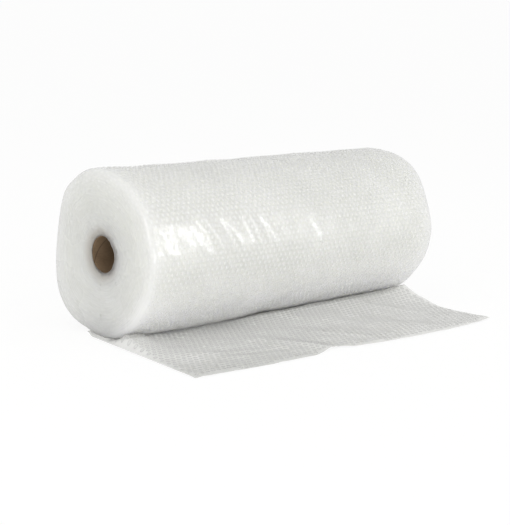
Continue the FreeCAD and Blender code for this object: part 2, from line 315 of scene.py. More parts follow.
# %% Relief of the end faces
def end_relief(share, angle, seed):
    """How far an end face stands out at that share of the way from the bore to the corner."""
    dice = np.random.default_rng(seed)
    offsets = dice.uniform(-1, 1, turn_count + 3)
    spiral = share * turn_count + angle / math.tau
    turn = np.floor(spiral).astype(int)
    inside = spiral - turn
    to_next = smoothstep(inside, 0.72, 1.0)
    this_offset = offsets[np.clip(turn, 0, turn_count + 2)]
    next_offset = offsets[np.clip(turn + 1, 0, turn_count + 2)]
    level = this_offset * (1 - to_next) + next_offset * to_next
    groove = -np.exp(-(((inside - 0.86) / 0.13) ** 2))
    reach = core_radius + share * (roll_radius - corner_radius - core_radius)
    lumps = ripple(reach * np.sin(angle), reach * np.cos(angle), 0.055, seed + 1)
    fine = ripple(reach * np.sin(angle), reach * np.cos(angle), 0.016, seed + 2)
    dimple = smoothstep(reach, core_radius - 0.004, core_radius + dimple_width) - 1
    fade = 1 - smoothstep(share, 0.93, 1.0)
    relief = 0.00050 * level + 0.00035 * groove + 0.0006 * lumps + 0.00025 * fine
    return fade * relief + dimple_depth * dimple


def lip_radius(angle, seed):
    """The first turn hangs raggedly over the core's rim."""
    torn = sum(np.sin(angle * count + seed * count) / count for count in (3, 5, 8, 13, 21, 34))
    return core_radius - 0.0030 + 0.0016 * torn - 0.0022 * swell(angle, 14, 60)


def wall_point(station, angle):
    """A point of the wound film's wall, and its place across the film, in metres from its middle."""
    kind, value = station
    if kind == "bore":
        reach = core_radius + 0.0004
        y, z = reach * np.sin(angle), axis_height - reach * np.cos(angle)
        point = np.stack([value + 0 * angle, y, z], axis=-1)
        return point, np.full(len(angle), math.copysign(half_length + roll_radius, value))
    if kind == "outside":
        return roll_point(value + 0 * angle, angle, -bubble_height), value + 0 * angle
    side = -1 if kind.startswith("near") else 1
    rim_x = side * (half_length - corner_radius)
    outer = surface_reach(rim_x + 0 * angle, angle) - bubble_height
    form = end_form(side * half_length + 0 * angle, angle)
    if kind.endswith("corner"):
        reach = outer - corner_radius * (1 - math.sin(value)) + 0.25 * form * math.cos(value)
        x = side * (half_length - corner_radius * (1 - math.cos(value)))
        stand = 0.5 * form
        across = rim_x + side * corner_radius * (math.pi / 2 - value) + 0 * angle
    else:
        lip = lip_radius(angle, 3 + side)
        reach = lip + value * (outer - corner_radius + 0.25 * form - lip)
        x = side * half_length
        stand = end_relief(value + 0 * angle, angle, 40 + side) + 0.5 * form * smoothstep(value, 0.25, 1)
        across = rim_x + side * (corner_radius * math.pi / 2 + outer - corner_radius - reach)
    z = axis_height - reach * np.cos(angle)
    point = np.stack([x + side * stand, reach * np.sin(angle), np.maximum(z, floor_gap)], axis=-1)
    return point, across


# %% [markdown]
# The grid is laid on the walk, and its seams are merged, which closes the tube. Each point also gets
# its place on the unrolled film, so that patterns can follow the film, and four masks for the material:
# where the end faces are, where the film is drawn tight and its colour is painted lighter as bounce
# light, where no dots show, and what lies by the core.

# %% Wound film from a grid
deselect_all()
bpy.ops.mesh.primitive_grid_add(x_subdivisions=around_count, y_subdivisions=len(walk), size=2)
wound_film = named("wound_film")
flat = points_of(wound_film)
turn_index = np.round((flat[:, 0] + 1) / 2 * around_count).astype(int)
step_index = np.round((flat[:, 1] + 1) / 2 * len(walk)).astype(int)
angles = np.arange(around_count + 1) * math.tau / around_count
shaped = [wall_point(station, angles) for station in walk + walk[:1]]
wound_points = np.stack([point for point, across in shaped])[step_index, turn_index]
film_across = np.stack([across for point, across in shaped])[step_index, turn_index]
move_points(wound_film, wound_points)
lay_map(wound_film, film_across, angles[turn_index] * roll_radius)

# %% Masks of the wound film
past_rim = np.abs(film_across) - half_length
from_axis = np.hypot(wound_points[:, 1], wound_points[:, 2] - axis_height)
tight_bounce_mask = tight_and_painted_bounce(wound_points[:, 1], wound_points[:, 2]) * (1 - smoothstep(past_rim, 0, 0.03))
no_dots = np.maximum(smoothstep(past_rim, 0.012, 0.060), 0.85 * tight_bounce_mask)
near_core = 1 - smoothstep(from_axis, core_radius - 0.002, core_radius * 1.65)
lay_attribute(wound_film, "end_face", smoothstep(past_rim, -0.006, 0.012))
lay_attribute(wound_film, "tight_and_painted_bounce", tight_bounce_mask)
lay_attribute(wound_film, "no_dots", no_dots)
lay_attribute(wound_film, "near_core", near_core)
print("masks", [attribute.name for attribute in wound_film.data.attributes])

# %% Close the wound film
bpy.ops.object.mode_set(mode="EDIT")
bpy.ops.mesh.select_all(action="SELECT")
bpy.ops.mesh.remove_doubles(threshold=0.00002)
bpy.ops.mesh.normals_make_consistent(inside=False)
bpy.ops.object.mode_set(mode="OBJECT")
bpy.ops.object.shade_smooth()
print("wound film", triangles_of(wound_film), "triangles")

# %% [markdown]
# A bubble is a low round cushion of air, nearly flat on top. It is modelled once, from a short cone
# whose top face is inset, raised and poked. A film has thousands of them, so it has only 58 triangles,
# and its round look comes from smooth shading.

# %% One bubble
BUBBLE_SIDES = 10
BUBBLE_POINTS = 3 * BUBBLE_SIDES + 1


def new_bubble(name):
    """A bubble of radius 1 and height 1 at the origin."""
    deselect_all()
    bpy.ops.mesh.primitive_cone_add(
        vertices=BUBBLE_SIDES, radius1=1.0, radius2=0.80, depth=0.6, location=(0, 0, 0.3)
    )
    bubble = named(name)
    bpy.ops.object.transform_apply(location=True, rotation=True, scale=True)
    bpy.context.tool_settings.mesh_select_mode = (False, False, True)
    for face in bubble.data.polygons:
        face.select = face.normal.z > 0.9
    bpy.ops.object.mode_set(mode="EDIT")
    bpy.ops.mesh.inset(thickness=0.36, depth=0)
    bpy.ops.transform.translate(value=(0, 0, 0.32))
    bpy.ops.mesh.poke(offset=0.08)
    bpy.ops.object.mode_set(mode="OBJECT")
    return bubble


# %% [markdown]
# The flat film: one bubble and its staggered neighbour make a pair, and two Array modifiers repeat the
# pair across the film and along it. Afterwards the flat film is laid on the roll or on the floor by
# moving its points, which keeps every bubble attached to its own place on the film.

# %% Flat film of bubbles
def flat_bubbles(name, columns, row_pairs):
    """Rows of bubbles in the XY plane, starting at the origin, each of radius bubble_radius and height 1."""
    first = new_bubble(name)
    second = new_bubble(name + "_neighbour")
    second_points = points_of(second)
    for piece, dx, dy in ((first, 0.0, 0.0), (second, bubble_pitch / 2, row_pitch)):
        points = points_of(piece)
        points[:, 0] = points[:, 0] * bubble_radius + dx
        points[:, 1] = points[:, 1] * bubble_radius + dy
        move_points(piece, points)
    deselect_all()
    second.select_set(True)
    first.select_set(True)
    bpy.context.view_layer.objects.active = first
    bpy.ops.object.join()
    for axis, count, spacing in ((0, columns, bubble_pitch), (1, row_pairs, 2 * row_pitch)):
        array = first.modifiers.new("rows", "ARRAY")
        array.count = count
        array.use_relative_offset = False
        array.use_constant_offset = True
        array.constant_offset_displace = [spacing if side == axis else 0 for side in range(3)]
        bpy.ops.object.modifier_apply(modifier=array.name)
    lay_attribute(first, "fullness", points_of(first)[:, 2])
    return first


def bubble_centres(points):
    """The middle of each point's own bubble, and the bubble's number."""
    number = np.arange(len(points)) // BUBBLE_POINTS
    middles = points.reshape(-1, BUBBLE_POINTS, 3).mean(axis=1)
    return middles[number], number


def remove_bubbles(piece, unwanted):
    """Deletes the bubbles whose points are marked in unwanted."""
    deselect_all()
    piece.select_set(True)
    bpy.context.view_layer.objects.active = piece
    bpy.ops.object.mode_set(mode="EDIT")
    bpy.ops.mesh.select_mode(type="VERT")
    bpy.ops.mesh.select_all(action="DESELECT")
    bpy.ops.object.mode_set(mode="OBJECT")
    piece.data.vertices.foreach_set("select", unwanted)
    bpy.ops.object.mode_set(mode="EDIT")
    bpy.ops.mesh.delete(type="VERT")
    bpy.ops.mesh.select_all(action="SELECT")
    bpy.ops.mesh.normals_make_consistent(inside=False)
    bpy.ops.object.mode_set(mode="OBJECT")


# %% [markdown]
# The roll's bubbles, in two pieces so that neither grows too heavy: the back and the front of the
# roll. No bubble is like the next: some are full, some slack, and each leans a little, which is what
# makes the film glitter instead of shining evenly. Those near the cut edges are pressed flat, under
# the roll its weight presses them flat, and low on the front the tight film does.

# %% Bubbles of the wound film
ROWS_ROUND = 98
COLUMNS = 62
row_angle = math.tau / ROWS_ROUND
loose_from = math.radians(-30)


def wound_bubbles(name, first_row, row_pairs, seed):
    """The rows of bubbles of the wound film from first_row on, as one piece."""
    piece = flat_bubbles(name, COLUMNS, row_pairs)
    flat = points_of(piece)
    middle, number = bubble_centres(flat)
    dice = np.random.default_rng(seed)
    count = number.max() + 1
    fullness = dice.normal(1.0, 0.10, count)
    fullness = np.where(dice.uniform(0, 1, count) < 0.03, 0.45, fullness)[number]
    lean_x = dice.normal(0, 0.10, count)[number]
    lean_s = dice.normal(0, 0.10, count)[number]
    x_start = -(COLUMNS - 0.5) * bubble_pitch / 2
    x = flat[:, 0] + x_start
    turns = (flat[:, 1] / row_pitch + first_row) * row_angle
    shift = 0.0004 * ripple(middle[:, 0], middle[:, 1], 0.11, 5)
    high = flat[:, 2] * bubble_height * fullness
    high = high + flat[:, 2] * (lean_x * (flat[:, 0] - middle[:, 0]) + lean_s * (flat[:, 1] - middle[:, 1]))
    edge = half_length - np.abs(middle[:, 0] + x_start)
    high = high * (0.25 + 0.75 * smoothstep(edge, 0.004, 0.045))
    foot = roll_point(x + shift, turns, 0)
    high = high * (1 - 0.6 * tight_and_painted_bounce(foot[:, 1], foot[:, 2]))
    laid = roll_point(x + shift, turns, high - bubble_height - 0.0003)
    move_points(piece, laid)
    centre_angle = (middle[:, 1] / row_pitch + first_row) * row_angle
    hidden = (edge < 0.0065) | (centre_angle > math.tau + loose_from)
    remove_bubbles(piece, hidden)
    bpy.ops.object.shade_smooth()
    print(name, triangles_of(piece), "triangles")
    return piece


back_bubbles = wound_bubbles("roll_bubbles_back", 1, 24, 101)
front_bubbles = wound_bubbles("roll_bubbles_front", 49, 24, 102)

# %% [markdown]
# The loose end leaves the roll low on its front, runs over a soft crest and comes down to the floor in
# a wide curve. Where it leaves differs along the roll: low near the left end and high at the right.
# Its height at any place is the lower of two surfaces, the roll's own and the curve down to the floor,
# blended so that the film bends instead of breaking.

# %% Shape of the loose end
WEB = 0.0034  # height of the film's flat side above the floor, with its bubbles under it
floor_line = -0.208
# Cling gives the angle from the bottom at which the film leaves the roll, in degrees, by x. Front gives
# the y of the front edge by x, and far edge the x of the far edge by y.
CLING = [
    (-0.39, 31), (-0.34, 30), (-0.262, 19), (-0.20, 17), (-0.135, 18), (-0.045, 25),
    (0.075, 28.5), (0.22, 30.5), (0.30, 32), (0.345, 34), (0.38, 35.5),
]
FRONT = [
    (-0.404, -0.3185), (-0.392, -0.3215), (-0.38, -0.3230), (-0.30, -0.3275), (-0.225, -0.3310),
    (-0.15, -0.3340), (-0.112, -0.3308), (-0.092, -0.3215), (-0.070, -0.3170), (-0.050, -0.3165),
    (-0.034, -0.3195), (-0.020, -0.3280), (0.0, -0.3320), (0.058, -0.3372), (0.12, -0.3428),
    (0.19, -0.3430), (0.262, -0.3434), (0.315, -0.3400), (0.344, -0.3380), (0.382, -0.3310),
]
FAR_EDGE = [
    (-0.34, 0.3805), (-0.29, 0.3765), (-0.25, 0.3715), (-0.215, 0.3705),
    (-0.17, 0.3725), (-0.12, 0.3745), (0.05, 0.3745),
]
# Each light crease has a start and an end as (x, y), a width and a height.
LIGHT_CREASES = [
    ((0.206, -0.105), (0.281, -0.199), 0.006, 0.0016),
    ((0.292, -0.090), (0.356, -0.150), 0.006, 0.0014),
    ((-0.02, -0.20), (0.06, -0.30), 0.007, 0.0010),
    ((-0.33, -0.21), (-0.16, -0.26), 0.009, 0.0012),
    ((-0.28, -0.26), (-0.10, -0.30), 0.008, 0.0010),
]


def smooth_line(x, table):
    """A soft line through a few measured places."""
    places, values = np.array(table, float).T
    total = np.zeros(np.shape(x))
    for offset in np.linspace(-0.012, 0.012, 5):
        total = total + np.interp(x + offset, places, values)
    return total / 5


def under_roll(x, y):
    """Height of the roll's underside above the floor at (x, y)."""
    inner_x = np.clip(x, 0.012 - half_length, half_length - 0.012)
    angle = np.arcsin(np.clip(y / roll_radius, -0.94, 0.94))
    for _ in range(6):
        angle = np.arcsin(np.clip(y / surface_reach(inner_x, angle), -0.94, 0.94))
    return axis_height - surface_reach(inner_x, angle) * np.cos(angle)


def soft_lower(a, b, width):
    """The lower of two heights, rounded where they meet."""
    mix = np.clip(0.5 + 0.5 * (b - a) / width, 0, 1)
    return b + (a - b) * mix - width * mix * (1 - mix)


def near_edge(y):
    """The x of the near edge, which lies beside the roll and runs nearly straight to the corner."""
    return -0.3885 - 0.0370 * np.maximum(-y, 0) + 0.016 * smoothstep(y, 0.0, 0.05)


def web_height(x, y):
    """Height of the loose end's upper side."""
    cling = np.radians(smooth_line(x, CLING))
    leave_y = -roll_radius * np.sin(cling)
    leave_z = under_roll(x, leave_y)
    share = np.clip((leave_y - y) / (leave_y - floor_line), -1, 1)
    power = 1.6 + 0.5 * smoothstep(x, 0.2, 0.375)
    fall = WEB + np.maximum(leave_z - WEB, 0) * (1 - share) ** power
    height = soft_lower(under_roll(x, y), fall, 0.003)
    free = smoothstep(-y, 0.10, 0.16)
    height = height + free * (0.0005 + 0.0008 * ripple(x, y, 0.15, 21) + 0.0004 * ripple(x, y, 0.05, 22))
    height = height + 0.0024 * smoothstep(x, 0.28, 0.378) * smoothstep(-y, 0.26, 0.335)
    buckle = np.exp(-(((x + 0.066) + 0.55 * (y + 0.318)) / 0.020) ** 2)
    height = height + 0.0042 * buckle * smoothstep(-y, 0.15, 0.30)
    for start, end, width, lift in LIGHT_CREASES:
        height = height + lift * line_mask(x, y, start, end, width, 0.02, 0.02)
    beside = 1 - smoothstep(x - near_edge(y), 0.001, 0.016)
    height = height + beside * (0.0020 - height)
    pressed = (1 - smoothstep(smooth_line(y, FAR_EDGE) - x, 0, 0.007)) * smoothstep(-y, 0.15, 0.20)
    pressed = np.maximum(pressed, 1 - smoothstep(y - smooth_line(x, FRONT), 0, 0.009))
    return np.maximum(height - 0.45 * pressed * np.minimum(height, WEB), 0.0012)


def loose_x(side, y):
    """Across the loose end: side runs from -1 at its near edge to 1 at its far edge."""
    near = near_edge(y)
    far = smooth_line(y, FAR_EDGE)
    return near + (far - near) * (side + 1) / 2


# %% [markdown]
# The loose end starts from a flat grid that is fitted between its four edges and raised to its height.
# It begins a little behind the axis, under the roll. Solidify gives it the thickness of the film. Two
# masks go with it: how far a point lies from the roll, and how near it lies to the front left corner.

# %% Loose end from a grid
BACK_Y = 0.045
USUAL_FRONT = -0.33
deselect_all()
bpy.ops.mesh.primitive_grid_add(x_subdivisions=200, y_subdivisions=110, size=2)
loose_end = named("loose_end")
sheet_points = points_of(loose_end)
side, way = sheet_points[:, 0], (1 - sheet_points[:, 1]) / 2
rough_x = loose_x(side, BACK_Y + way * (USUAL_FRONT - BACK_Y))
y = BACK_Y + way * (smooth_line(rough_x, FRONT) - BACK_Y)
x = loose_x(side, y)
move_points(loose_end, np.stack([x, y, web_height(x, y)], axis=-1))
lay_map(loose_end, side * half_length, y)
lay_attribute(loose_end, "from_roll", smoothstep(-y, 0.13, 0.34))
lay_attribute(loose_end, "near_corner", smoothstep(-y, 0.20, 0.32) * (1 - smoothstep(x, -0.28, 0.10)))
thickness = loose_end.modifiers.new("film", "SOLIDIFY")
thickness.thickness = 0.0008
thickness.offset = -1
bpy.ops.object.modifier_apply(modifier=thickness.name)
bpy.ops.object.shade_smooth_by_angle(angle=math.radians(50))
print("loose end", triangles_of(loose_end), "triangles")

# %% [markdown]
# The loose end lies with its bubbles down, so their domes carry it and stand on the floor. Its upper
# side is nearly flat, and shows each bubble as a shallow cushion.

# %% Bubbles of the loose end
LOOSE_ROWS = 30
first_loose_row = 0.030  # how far in front of the axis the first row lies


def loose_bubbles(name, height, seed, width):
    """Bubbles on the loose end: upwards for a positive height, downwards for a negative one."""
    piece = flat_bubbles(name, COLUMNS + 1, LOOSE_ROWS // 2)
    flat = points_of(piece)
    middle, number = bubble_centres(flat)
    dice = np.random.default_rng(seed)
    count = number.max() + 1
    fullness = dice.normal(1.0, 0.12, count)[number]
    lean = dice.normal(0, 0.06, count)[number]
    side = (middle[:, 0] - (COLUMNS + 0.5) * bubble_pitch / 2) / half_length
    y_middle = -first_loose_row - middle[:, 1]
    x_middle = loose_x(side, y_middle)
    x = x_middle + (flat[:, 0] - middle[:, 0]) * width
    y = y_middle - (flat[:, 1] - middle[:, 1]) * width
    tip = abs(height) / bubble_height * lean * (flat[:, 0] - middle[:, 0])
    high = flat[:, 2] * (height * fullness + tip)
    base = web_height(x, y) - (0.0002 if height > 0 else 0.0006)
    move_points(piece, np.stack([x, y, np.maximum(base + high, 0.0001)], axis=-1))
    beyond = (y_middle - 0.0058 < smooth_line(x_middle, FRONT)) | (np.abs(side) > 0.984)
    remove_bubbles(piece, beyond)
    bpy.ops.object.shade_smooth()
    print(name, triangles_of(piece), "triangles")
    return piece


cushions = loose_bubbles("loose_end_cushions", 0.0007, 103, 1.0)
under_bubbles = loose_bubbles("loose_end_bubbles", -0.0027, 104, 0.98)

# %% [markdown]
# Materials. Clear polyethylene turns milky where many layers lie on each other, because light
# scatters between them. Three effects are shared by several finishes, so each is a node group. Clouds
# are the slow change of density. Crinkle is the fine unevenness that makes thin film glitter. Rows of
# dots are the bubbles of the turns below, which show through the last one as pale dots; laid on the
# outer turn's own bubbles, the same dots are a painted highlight. The helpers below keep the node
# trees short: each adds one node, links its inputs and gives back its output.

# %% Node helpers
def new_group(name, inputs, output, kind):
    """A node group with float inputs, given as (label, value), and one output."""
    group = bpy.data.node_groups.new(name, "ShaderNodeTree")
    for label, value in inputs:
        socket = group.interface.new_socket(name=label, in_out="INPUT", socket_type="NodeSocketFloat")
        socket.default_value = value
    group.interface.new_socket(name=output, in_out="OUTPUT", socket_type=kind)
    return group, group.nodes.new("NodeGroupInput"), group.nodes.new("NodeGroupOutput")


def math_node(tree, operation, *values):
    """A Math node whose inputs are numbers or the outputs of other nodes."""
    node = tree.nodes.new("ShaderNodeMath")
    node.operation = operation
    for socket, value in zip(node.inputs, values):
        if isinstance(value, (int, float)):
            socket.default_value = value
        else:
            tree.links.new(value, socket)
    return node.outputs["Value"]


def spread_node(tree, value, low, high, to_low=0.0, to_high=1.0):
    """A Map Range node: value from low to high becomes to_low to to_high, and stays inside them."""
    node = tree.nodes.new("ShaderNodeMapRange")
    tree.links.new(value, node.inputs["Value"])
    for label, number in (("From Min", low), ("From Max", high), ("To Min", to_low), ("To Max", to_high)):
        node.inputs[label].default_value = number
    return node.outputs["Result"]


def noise_node(tree, vector, scale, detail=2.0):
    """A Noise Texture node's value; scale and detail are numbers or the outputs of other nodes."""
    node = tree.nodes.new("ShaderNodeTexNoise")
    tree.links.new(vector, node.inputs["Vector"])
    for label, value in (("Scale", scale), ("Detail", detail)):
        if isinstance(value, (int, float)):
            node.inputs[label].default_value = value
        else:
            tree.links.new(value, node.inputs[label])
    return node.outputs["Fac"]


def stretched(tree, vector, scales):
    """The vector, scaled by a Mapping node."""
    node = tree.nodes.new("ShaderNodeMapping")
    node.inputs["Scale"].default_value = scales
    tree.links.new(vector, node.inputs["Vector"])
    return node.outputs["Vector"]


def mixed_colour(tree, factor, first, second):
    """A colour mixed from two, each a plain colour or another node's output."""
    node = tree.nodes.new("ShaderNodeMix")
    node.data_type = "RGBA"
    tree.links.new(factor, node.inputs["Factor"])
    for label, value in (("A", first), ("B", second)):
        if isinstance(value, tuple):
            node.inputs[label].default_value = (*value, 1)
        else:
            tree.links.new(value, node.inputs[label])
    return node.outputs["Result"]


def attribute_value(tree, name):
    """One of the piece's masks."""
    node = tree.nodes.new("ShaderNodeAttribute")
    node.attribute_name = name
    return node.outputs["Fac"]


def grouped(tree, group, values):
    """Places a group with its own values, and gives back its output."""
    node = tree.nodes.new("ShaderNodeGroup")
    node.node_tree = group
    for label, value in values.items():
        node.inputs[label].default_value = value
    return node.outputs[0]


def new_material(name):
    """A material with its node tree and its shader."""
    material = bpy.data.materials.new(name)
    material.use_nodes = True
    return material, material.node_tree, material.node_tree.nodes["Principled BSDF"]


# %% Clouds
clouds, clouds_in, clouds_out = new_group(
    "milky_clouds", [("Size", 6.0), ("Detail", 3.0)], "Density", "NodeSocketFloat"
)
place = clouds.nodes.new("ShaderNodeTexCoord")
slow = noise_node(clouds, place.outputs["Object"], clouds_in.outputs["Size"], clouds_in.outputs["Detail"])
clouds.links.new(spread_node(clouds, slow, 0.3, 0.7), clouds_out.inputs["Density"])

# %% Crinkle
crinkle, crinkle_in, crinkle_out = new_group(
    "film_crinkle",
    [("Size", 220.0), ("Strength", 0.3), ("Depth", 0.001), ("Relief", 0.0)],
    "Normal",
    "NodeSocketVector",
)
place = crinkle.nodes.new("ShaderNodeTexCoord")
fine = noise_node(crinkle, place.outputs["Object"], crinkle_in.outputs["Size"])
bump = crinkle.nodes.new("ShaderNodeBump")
height = math_node(crinkle, "ADD", fine, crinkle_in.outputs["Relief"])
crinkle.links.new(height, bump.inputs["Height"])
crinkle.links.new(crinkle_in.outputs["Strength"], bump.inputs["Strength"])
crinkle.links.new(crinkle_in.outputs["Depth"], bump.inputs["Distance"])
crinkle.links.new(bump.outputs["Normal"], crinkle_out.inputs["Normal"])

# %% [markdown]
# Staggered rows of dots need no image: the product of two cosines, one along the row and one across
# the rows, has its hills exactly where the bubbles of every second row sit half a pitch aside.

# %% Rows of dots: buried bubbles and painted highlights
dot_rows, dot_rows_in, dot_rows_out = new_group(
    "bubble_dots_and_highlights",
    [("Turn", 0.0), ("Shift", 0.0), ("Waver", 0.3), ("Row pitch", row_pitch)],
    "Dots",
    "NodeSocketFloat",
)
film_place = dot_rows.nodes.new("ShaderNodeUVMap")
film_place.uv_map = "film"
turned = dot_rows.nodes.new("ShaderNodeVectorRotate")
turned.rotation_type = "Z_AXIS"
dot_rows.links.new(film_place.outputs["UV"], turned.inputs["Vector"])
dot_rows.links.new(dot_rows_in.outputs["Turn"], turned.inputs["Angle"])
wander = noise_node(dot_rows, film_place.outputs["UV"], 14)
parts = dot_rows.nodes.new("ShaderNodeSeparateXYZ")
dot_rows.links.new(turned.outputs["Vector"], parts.inputs["Vector"])
wander = math_node(dot_rows, "SUBTRACT", wander, 0.5)
waver = math_node(dot_rows, "MULTIPLY", wander, dot_rows_in.outputs["Waver"])
drift = math_node(dot_rows, "MULTIPLY", waver, math.tau * 4)
along_row = math_node(dot_rows, "MULTIPLY", parts.outputs["X"], math.tau / bubble_pitch)
along_row = math_node(dot_rows, "ADD", along_row, dot_rows_in.outputs["Shift"])
along_row = math_node(dot_rows, "ADD", along_row, drift)
across_rows = math_node(dot_rows, "MULTIPLY", parts.outputs["Y"], math.pi)
across_rows = math_node(dot_rows, "DIVIDE", across_rows, dot_rows_in.outputs["Row pitch"])
across_rows = math_node(dot_rows, "ADD", across_rows, drift)
hills = math_node(
    dot_rows, "MULTIPLY", math_node(dot_rows, "COSINE", along_row), math_node(dot_rows, "COSINE", across_rows)
)
dot_rows.links.new(spread_node(dot_rows, hills, 0.0, 0.8), dot_rows_out.inputs["Dots"])
print("groups", [group.name for group in bpy.data.node_groups])

# %% [markdown]
# The film's own material. The colour runs from thin to dense with the clouds. Gloss is uneven, because
# film is dull where it is dusty or stretched. The thin shells are partly clear, and how clear they are
# comes from one of the piece's own masks.

# %% Maker of film materials
def film_material(name, thin, dense, gloss, crinkle_size, crinkle_strength, cloud_size):
    """Milky film with a colour from thin to dense and a roughness from gloss[0] to gloss[1]."""
    material, tree, shader = new_material(name)
    shader.inputs["IOR"].default_value = 1.5
    density = grouped(tree, clouds, {"Size": cloud_size})
    tree.links.new(mixed_colour(tree, density, thin, dense), shader.inputs["Base Color"])
    tree.links.new(spread_node(tree, density, 0.0, 1.0, *gloss), shader.inputs["Roughness"])
    normal = grouped(tree, crinkle, {"Size": crinkle_size, "Strength": crinkle_strength})
    tree.links.new(normal, shader.inputs["Normal"])
    return material


def add_alpha(material, mask, low, high):
    """Clear film: how much it hides goes from low, where the mask is 0, to high, where it is 1."""
    tree = material.node_tree
    hiding = spread_node(tree, attribute_value(tree, mask), 0.0, 1.0, low, high)
    tree.links.new(hiding, tree.nodes["Principled BSDF"].inputs["Alpha"])


def add_tint(material, factor, tint):
    """Mixes a tint into the material's colour, as strongly as factor says."""
    tree = material.node_tree
    base = tree.nodes["Principled BSDF"].inputs["Base Color"]
    tree.links.new(mixed_colour(tree, factor, base.links[0].from_socket, tint), base)


# %% [markdown]
# Two things are added to the wound film's colour. The rows of dots of the turns below show through it,
# and dots laid on the outer turn's own bubbles paint a highlight on each, both except where a mask
# hides them. On the end faces, the edges of the turns show as fine streaks, and the brown core shines
# through the turns next to it.

# %% Additions to the wound film's colour
def add_dots_and_painted_highlights(material, pale, layers, hide):
    """Rows of dots, each layer given as (turn, shift, waver, row pitch, share, relief); a layer laid on the
    outer turn's own bubbles paints a highlight on each.
    """
    tree = material.node_tree
    crinkled = tree.nodes["Principled BSDF"].inputs["Normal"].links[0].from_node
    shown = math_node(tree, "SUBTRACT", 1.0, attribute_value(tree, hide))
    for turn, shift, waver, pitch_of_rows, share, relief in layers:
        layer = {"Turn": turn, "Shift": shift, "Waver": waver, "Row pitch": pitch_of_rows}
        dots = math_node(tree, "MULTIPLY", grouped(tree, dot_rows, layer), shown)
        if relief:
            tree.links.new(math_node(tree, "MULTIPLY", dots, relief), crinkled.inputs["Relief"])
        add_tint(material, math_node(tree, "MULTIPLY", dots, share), pale)


def add_turn_edges(material, edge_tint, core_tint):
    """The streaks of the turns' edges and the brown of the core, each under its own mask."""
    tree = material.node_tree
    place = tree.nodes.new("ShaderNodeUVMap")
    place.uv_map = "film"
    streaks = noise_node(tree, stretched(tree, place.outputs["UV"], (420, 16, 1)), 1, 3)
    streaked = math_node(
        tree, "MULTIPLY", spread_node(tree, streaks, 0.35, 0.75), attribute_value(tree, "end_face")
    )
    add_tint(material, math_node(tree, "MULTIPLY", streaked, 0.7), edge_tint)
    near_core = math_node(tree, "MULTIPLY", attribute_value(tree, "near_core"), 0.8)
    add_tint(material, near_core, core_tint)


# %% [markdown]
# The wound film is closed, and light may wander through its milky turns for centimetres, so it is
# given a wide subsurface radius. Its outermost layer is smooth and glossy, and that is the coat, which
# shows the lamps as streaks on the creases. Low on the front, where the film is drawn tight, it has no
# dots, and its colour is painted lighter there as painted bounce light from the floor.

# %% Wound film's material
skin_material = film_material(
    "wound film", (0.705, 0.71, 0.68), (0.775, 0.78, 0.75), (0.19, 0.33), 220, 0.20, 7
)
skin_shader = skin_material.node_tree.nodes["Principled BSDF"]
skin_shader.inputs["Subsurface Weight"].default_value = 1.0
skin_shader.inputs["Subsurface Radius"].default_value = (0.15, 0.15, 0.14)
skin_shader.inputs["Subsurface Scale"].default_value = 1.0
skin_shader.inputs["Coat Weight"].default_value = 0.7
skin_shader.inputs["Coat Roughness"].default_value = 0.11
# Painted highlight: the first layer of dots sits on the outer turn's own bubbles and paints each one paler.
highlight_shift = math.tau * COLUMNS / 2 + math.pi / 2  # puts the outer turn's dots on its own bubbles
highlight_row_pitch = row_angle * roll_radius
dot_layers = [
    (0.0, highlight_shift, 0.0, highlight_row_pitch, 0.30, 0.8),
    (0.62, 0.4, 0.2, row_pitch, 0.16, 0),
]
add_dots_and_painted_highlights(skin_material, (0.88, 0.88, 0.86), dot_layers, "no_dots")
skin_tree = skin_material.node_tree
# Painted bounce light: low on the front, which faces the floor, the film's colour is painted lighter.
painted_bounce_share = math_node(skin_tree, "MULTIPLY", attribute_value(skin_tree, "tight_and_painted_bounce"), 0.9)
add_tint(skin_material, painted_bounce_share, (0.97, 0.97, 0.94))
add_turn_edges(skin_material, (0.68, 0.685, 0.655), (0.50, 0.46, 0.40))
print(skin_material.name, len(skin_tree.nodes), "nodes")

# %% [markdown]
# The air bubbles are thin clear shells, clearest at their feet. The loose end is one layer of film, so
# it hides less than the roll does, least of all near the roll, where the floor shines through it. Its
# front left corner is greyer.

# %% Materials of the bubbles and of the loose end
bubble_material = film_material(
    "air bubbles", (0.92, 0.925, 0.905), (0.97, 0.97, 0.955), (0.14, 0.26), 420, 0.22, 14
)
add_alpha(bubble_material, "fullness", 0.07, 0.21)
loose_material = film_material(
    "loose film", (0.88, 0.88, 0.855), (0.94, 0.94, 0.915), (0.20, 0.32), 300, 0.30, 8
)
add_alpha(loose_material, "from_roll", 0.48, 0.62)
loose_tree = loose_material.node_tree
corner_share = math_node(loose_tree, "MULTIPLY", attribute_value(loose_tree, "near_corner"), 0.75)
add_tint(loose_material, corner_share, (0.68, 0.685, 0.655))
cushion_material = film_material(
    "loose film cushions", (0.88, 0.88, 0.86), (0.94, 0.94, 0.925), (0.16, 0.28), 420, 0.40, 12
)
add_alpha(cushion_material, "fullness", 0.12, 0.45)
under_material = film_material(
    "bubbles under the film", (0.92, 0.92, 0.90), (0.97, 0.97, 0.955), (0.16, 0.28), 420, 0.40, 12
)
add_alpha(under_material, "fullness", 0.06, 0.20)
for piece, material in (
    (wound_film, skin_material),
    (back_bubbles, bubble_material),
    (front_bubbles, bubble_material),
    (loose_end, loose_material),
    (cushions, cushion_material),
    (under_bubbles, under_material),
):
    piece.data.materials.clear()
    piece.data.materials.append(material)
    print(piece.name, "wears", material.name)

# %% [markdown]
# The core is wound from strips of brown board, so a seam runs round it like the thread of a screw. The
# seam lies where the place along the tube and the angle round it add up to a half turn. Stretched noise
# gives the board its fibres and clouds its lighter patches, and both make it rough and uneven.

